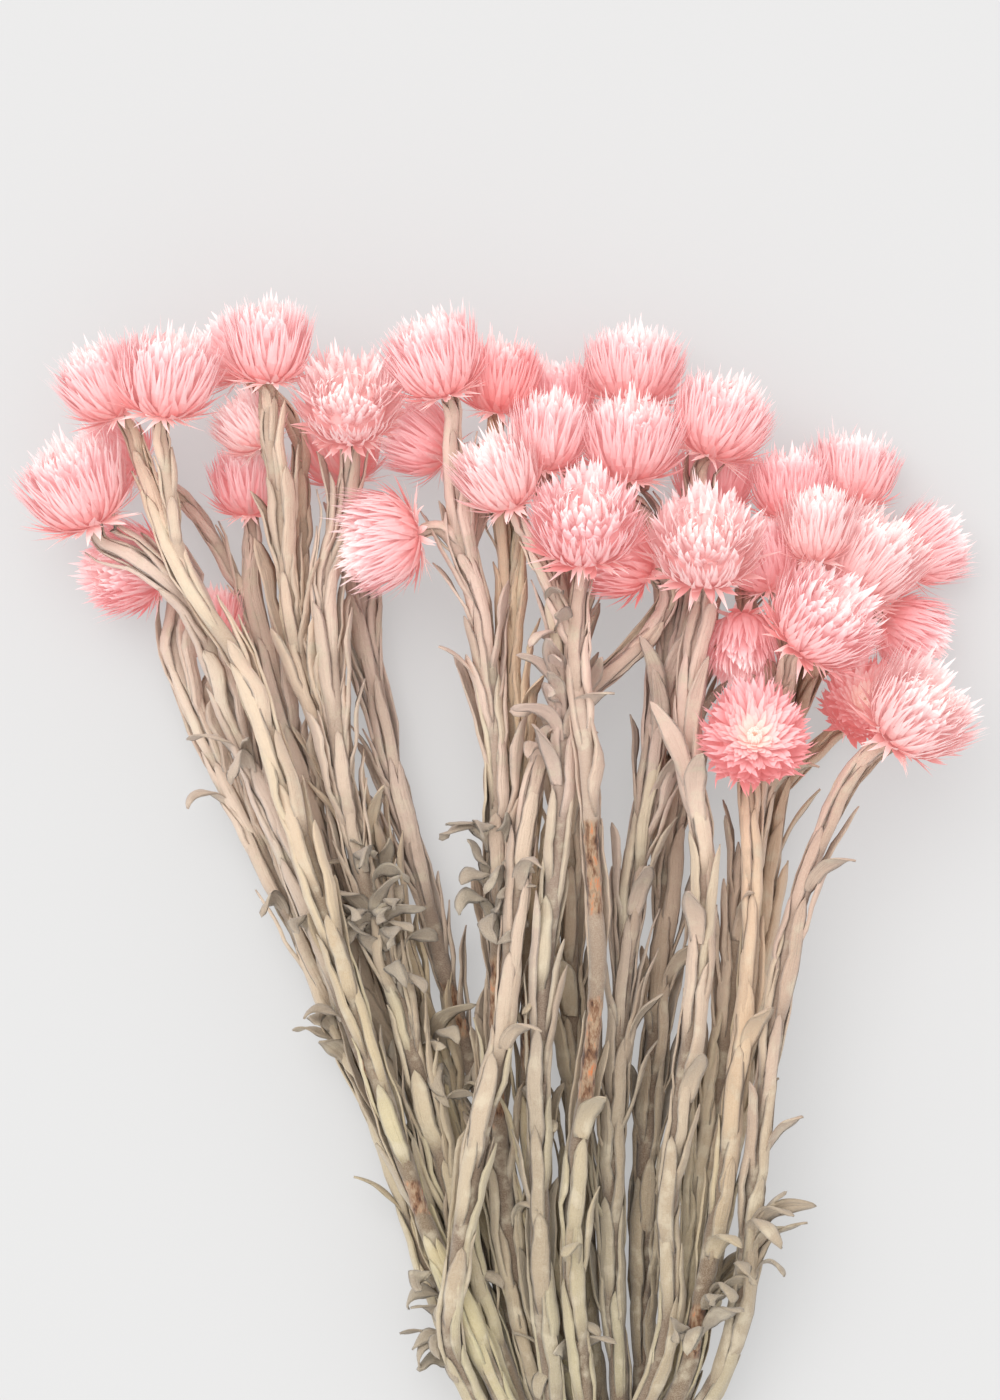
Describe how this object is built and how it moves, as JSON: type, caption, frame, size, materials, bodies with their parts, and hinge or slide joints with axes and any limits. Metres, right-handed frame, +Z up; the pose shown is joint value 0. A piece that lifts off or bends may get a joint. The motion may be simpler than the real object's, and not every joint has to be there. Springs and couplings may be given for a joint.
{
  "type": "dried flower bunch",
  "caption": "Dried silver daisy bunch: papery pink heads on felted leafy stems, fanned from a rubber tie, lying flat.",
  "frame": {"origin": "middle of the underside of the lying bunch's box, on the surface it lies on", "axes": "+Y from the cut ends towards the flower heads, +X to the right seen from above, +Z up towards the viewer"},
  "size_m": [0.362, 0.4976, 0.094],
  "materials": {
    "petals_near_white": "dry papery bracts, satin sheen",
    "petals_pale_pink": "dry papery bracts, satin sheen",
    "petals_pink": "dry papery bracts, satin sheen",
    "petals_coral": "dry papery bracts, satin sheen",
    "stem_cream": "matte felted hairs over dry leaves",
    "stem_taupe": "matte felted hairs over dry leaves",
    "stem_yellow_cream": "matte felted hairs over dry leaves",
    "stem_greige": "matte felted hairs over dry leaves",
    "tie_rubber": "plain tan rubber band, slightly dusty"
  },
  "bodies": {
    "root": {"stem_01": "stem_cream", "stem_02": "stem_taupe", "stem_03": "stem_yellow_cream", "stem_04": "stem_greige", "stem_05": "stem_cream", "stem_06": "stem_taupe", "stem_07": "stem_yellow_cream", "stem_08": "stem_greige", "stem_09": "stem_cream", "stem_10": "stem_taupe", "stem_11": "stem_yellow_cream", "stem_12": "stem_greige", "stem_13": "stem_cream", "stem_14": "stem_taupe", "stem_15": "stem_yellow_cream", "stem_16": "stem_greige", "stem_17": "stem_cream", "stem_18": "stem_taupe", "stem_19": "stem_yellow_cream", "stem_20": "stem_greige", "head_01": "petals_pale_pink", "head_02": "petals_pink", "head_03": "petals_pale_pink", "head_04": "petals_pale_pink", "head_05": "petals_pink", "head_06": "petals_coral", "head_07": "petals_pale_pink", "head_08": "petals_pale_pink", "head_09": "petals_near_white", "head_10": "petals_pink", "head_11": "petals_near_white", "head_12": "petals_coral", "head_13": "petals_pale_pink", "head_14": "petals_pale_pink", "head_15": "petals_pink", "head_16": "petals_coral", "head_17": "petals_near_white", "head_18": "petals_pink", "head_19": "petals_pale_pink", "head_20": "petals_pale_pink", "head_21": "petals_pale_pink", "head_22": "petals_pale_pink", "head_23": "petals_pink", "head_24": "petals_pale_pink", "head_25": "petals_coral", "head_26": "petals_near_white", "head_27": "petals_pink", "head_28": "petals_pink", "head_29": "petals_pink", "head_30": "petals_pale_pink", "head_31": "petals_near_white", "head_32": "petals_near_white", "head_33": "petals_pale_pink", "head_34": "petals_pale_pink", "head_35": "petals_pink", "head_36": "petals_coral", "head_37": "petals_near_white", "head_38": "petals_pink", "rubber_tie": "tie_rubber"}
  },
  "joints": []
}
